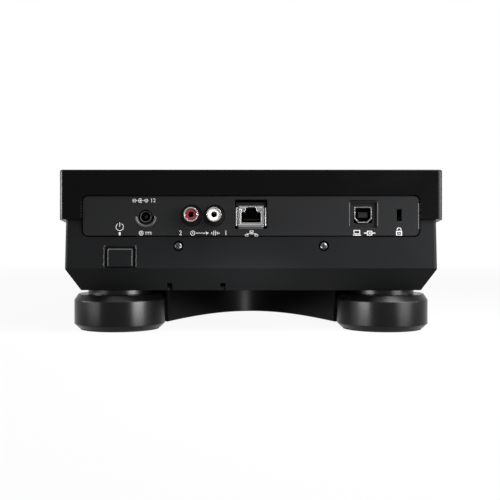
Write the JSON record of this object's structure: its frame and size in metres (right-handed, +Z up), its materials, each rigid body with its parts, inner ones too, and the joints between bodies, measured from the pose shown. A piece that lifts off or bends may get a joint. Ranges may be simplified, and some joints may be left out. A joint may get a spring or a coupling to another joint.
{
  "type": "dj media player",
  "caption": "Table-top media player with a sloping deck, jog wheel, tempo fader, touch display, push keys, a rear connector panel and round feet.",
  "frame": {"origin": "on the table under the middle of the object", "axes": "+Z up, +Y towards the connector panel at the rear, +X to the player's right seen from the front"},
  "size_m": [0.222, 0.2979, 0.1005],
  "materials": {
    "case_black": "fine textured black",
    "case_grey": "fine textured dark grey",
    "tray_black": "smooth black",
    "panel_grey": "satin dark grey",
    "foot_black": "semi-gloss black",
    "pad_rubber": "matte rubber",
    "screw_steel": "black oxide",
    "bracket_steel": "zinc plated",
    "board_green": "solder mask",
    "switch_black": "moulded",
    "jog_black": "semi-gloss black",
    "jog_plate_black": "fine grain",
    "jog_cap_gloss": "polished black",
    "shaft_steel": "ground steel",
    "inner_plastic": "moulded",
    "fader_black": "satin",
    "knob_black": "soft touch",
    "display_gloss": "polished cover",
    "socket_metal": "nickel plated",
    "jack_black": "moulded",
    "pin_metal": "nickel plated",
    "sleeve_metal": "nickel plated",
    "insulator_red": "moulded",
    "insulator_white": "moulded",
    "key_grey": "satin dark grey",
    "key_clear_green": "smoked translucent",
    "key_clear_amber": "smoked translucent"
  },
  "bodies": {
    "case": {"audio_insulator_red": "insulator_red", "audio_insulator_white": "insulator_white", "audio_jack_body": "jack_black", "audio_jack_sleeves": "sleeve_metal", "board_screws": "screw_steel", "bottom_case": "case_grey", "case_screws": "screw_steel", "dc_jack": "jack_black", "dc_pin": "pin_metal", "display_glass": "display_gloss", "display_module": "inner_plastic", "feet": "foot_black", "foot_pads": "pad_rubber", "foot_screws": "screw_steel", "jack_board": "board_green", "jack_bracket": "bracket_steel", "jog_spindle": "shaft_steel", "jog_support": "inner_plastic", "key_switches": "switch_black", "lan_insert": "jack_black", "lan_shield": "socket_metal", "main_board": "board_green", "panel_board": "board_green", "power_switch": "switch_black", "rear_panel": "panel_grey", "rear_screws": "screw_steel", "selector_encoder": "inner_plastic", "stick_socket": "socket_metal", "tempo_fader_body": "inner_plastic", "top_cover": "case_black", "under_tray": "tray_black", "usb_b_insert": "jack_black", "usb_b_shield": "socket_metal"},
    "jog_wheel": {"jog_wheel": "jog_black"},
    "jog_plate": {"jog_plate": "jog_plate_black", "jog_cap": "jog_cap_gloss"},
    "tempo_fader": {"tempo_fader_stem": "shaft_steel", "tempo_fader_cap": "fader_black"},
    "selector_plunger": {"selector_shaft": "shaft_steel"},
    "selector_knob": {"selector_knob": "knob_black"},
    "power_button": {"power_button": "case_grey"},
    "play_button": {"play_button": "key_clear_green"},
    "cue_button": {"cue_button": "key_clear_amber"},
    "track_back_button": {"track_back_button": "key_grey"},
    "track_forward_button": {"track_forward_button": "key_grey"},
    "search_back_button": {"search_back_button": "key_grey"},
    "search_forward_button": {"search_forward_button": "key_grey"},
    "loop_in_button": {"loop_in_button": "key_grey"},
    "loop_out_button": {"loop_out_button": "key_grey"},
    "reloop_button": {"reloop_button": "key_grey"},
    "memory_button": {"memory_button": "key_grey"},
    "call_back_button": {"call_back_button": "key_grey"},
    "call_forward_button": {"call_forward_button": "key_grey"},
    "beat_sync_button": {"beat_sync_button": "key_grey"},
    "master_button": {"master_button": "key_grey"},
    "master_tempo_button": {"master_tempo_button": "key_grey"},
    "tempo_range_button": {"tempo_range_button": "key_grey"},
    "back_button": {"back_button": "key_grey"},
    "tag_track_button": {"tag_track_button": "key_grey"}
  },
  "joints": [
    {"name": "jog_spin", "type": "hinge", "parent": "case", "child": "jog_wheel", "pos_m": [-0.002, -0.06446, 0.0751], "axis": [0, -0.0958, 0.9954], "continuous": true},
    {"name": "jog_press", "type": "slide", "parent": "jog_wheel", "child": "jog_plate", "axis": [0, 0.0958, -0.9954], "range_m": [0, 0.0004], "stiffness_N_per_m": 3000, "springref_m": -0.0004},
    {"name": "tempo_slide", "type": "slide", "parent": "case", "child": "tempo_fader", "axis": [0, 0.9954, 0.0958], "range_m": [-0.05, 0.05]},
    {"name": "selector_push", "type": "slide", "parent": "case", "child": "selector_plunger", "axis": [0, 0.0958, -0.9954], "range_m": [0, 0.0005], "stiffness_N_per_m": 2000, "springref_m": -0.0005},
    {"name": "selector_turn", "type": "hinge", "parent": "selector_plunger", "child": "selector_knob", "pos_m": [0.089, 0.06494, 0.08756], "axis": [0, -0.0958, 0.9954], "continuous": true},
    {"name": "power_press", "type": "slide", "parent": "case", "child": "power_button", "axis": [0, -0.9954, -0.0958], "range_m": [0, 0.0015], "stiffness_N_per_m": 500, "springref_m": -0.001},
    {"name": "play_press", "type": "slide", "parent": "case", "child": "play_button", "axis": [0, 0.0958, -0.9954], "range_m": [0, 0.0008], "stiffness_N_per_m": 600, "springref_m": -0.0008},
    {"name": "cue_press", "type": "slide", "parent": "case", "child": "cue_button", "axis": [0, 0.0958, -0.9954], "range_m": [0, 0.0008], "stiffness_N_per_m": 600, "springref_m": -0.0008},
    {"name": "track_back_press", "type": "slide", "parent": "case", "child": "track_back_button", "axis": [0, 0.0958, -0.9954], "range_m": [0, 0.0008], "stiffness_N_per_m": 600, "springref_m": -0.0008},
    {"name": "track_forward_press", "type": "slide", "parent": "case", "child": "track_forward_button", "axis": [0, 0.0958, -0.9954], "range_m": [0, 0.0008], "stiffness_N_per_m": 600, "springref_m": -0.0008},
    {"name": "search_back_press", "type": "slide", "parent": "case", "child": "search_back_button", "axis": [0, 0.0958, -0.9954], "range_m": [0, 0.0008], "stiffness_N_per_m": 600, "springref_m": -0.0008},
    {"name": "search_forward_press", "type": "slide", "parent": "case", "child": "search_forward_button", "axis": [0, 0.0958, -0.9954], "range_m": [0, 0.0008], "stiffness_N_per_m": 600, "springref_m": -0.0008},
    {"name": "loop_in_press", "type": "slide", "parent": "case", "child": "loop_in_button", "axis": [0, 0.0958, -0.9954], "range_m": [0, 0.0008], "stiffness_N_per_m": 600, "springref_m": -0.0008},
    {"name": "loop_out_press", "type": "slide", "parent": "case", "child": "loop_out_button", "axis": [0, 0.0958, -0.9954], "range_m": [0, 0.0008], "stiffness_N_per_m": 600, "springref_m": -0.0008},
    {"name": "reloop_press", "type": "slide", "parent": "case", "child": "reloop_button", "axis": [0, 0.0958, -0.9954], "range_m": [0, 0.0008], "stiffness_N_per_m": 600, "springref_m": -0.0008},
    {"name": "memory_press", "type": "slide", "parent": "case", "child": "memory_button", "axis": [0, 0.0958, -0.9954], "range_m": [0, 0.0008], "stiffness_N_per_m": 600, "springref_m": -0.0008},
    {"name": "call_back_press", "type": "slide", "parent": "case", "child": "call_back_button", "axis": [0, 0.0958, -0.9954], "range_m": [0, 0.0008], "stiffness_N_per_m": 600, "springref_m": -0.0008},
    {"name": "call_forward_press", "type": "slide", "parent": "case", "child": "call_forward_button", "axis": [0, 0.0958, -0.9954], "range_m": [0, 0.0008], "stiffness_N_per_m": 600, "springref_m": -0.0008},
    {"name": "beat_sync_press", "type": "slide", "parent": "case", "child": "beat_sync_button", "axis": [0, 0.0958, -0.9954], "range_m": [0, 0.0008], "stiffness_N_per_m": 600, "springref_m": -0.0008},
    {"name": "master_press", "type": "slide", "parent": "case", "child": "master_button", "axis": [0, 0.0958, -0.9954], "range_m": [0, 0.0008], "stiffness_N_per_m": 600, "springref_m": -0.0008},
    {"name": "master_tempo_press", "type": "slide", "parent": "case", "child": "master_tempo_button", "axis": [0, 0.0958, -0.9954], "range_m": [0, 0.0008], "stiffness_N_per_m": 600, "springref_m": -0.0008},
    {"name": "tempo_range_press", "type": "slide", "parent": "case", "child": "tempo_range_button", "axis": [0, 0.0958, -0.9954], "range_m": [0, 0.0008], "stiffness_N_per_m": 600, "springref_m": -0.0008},
    {"name": "back_press", "type": "slide", "parent": "case", "child": "back_button", "axis": [0, 0.0958, -0.9954], "range_m": [0, 0.0008], "stiffness_N_per_m": 600, "springref_m": -0.0008},
    {"name": "tag_track_press", "type": "slide", "parent": "case", "child": "tag_track_button", "axis": [0, 0.0958, -0.9954], "range_m": [0, 0.0008], "stiffness_N_per_m": 600, "springref_m": -0.0008}
  ]
}
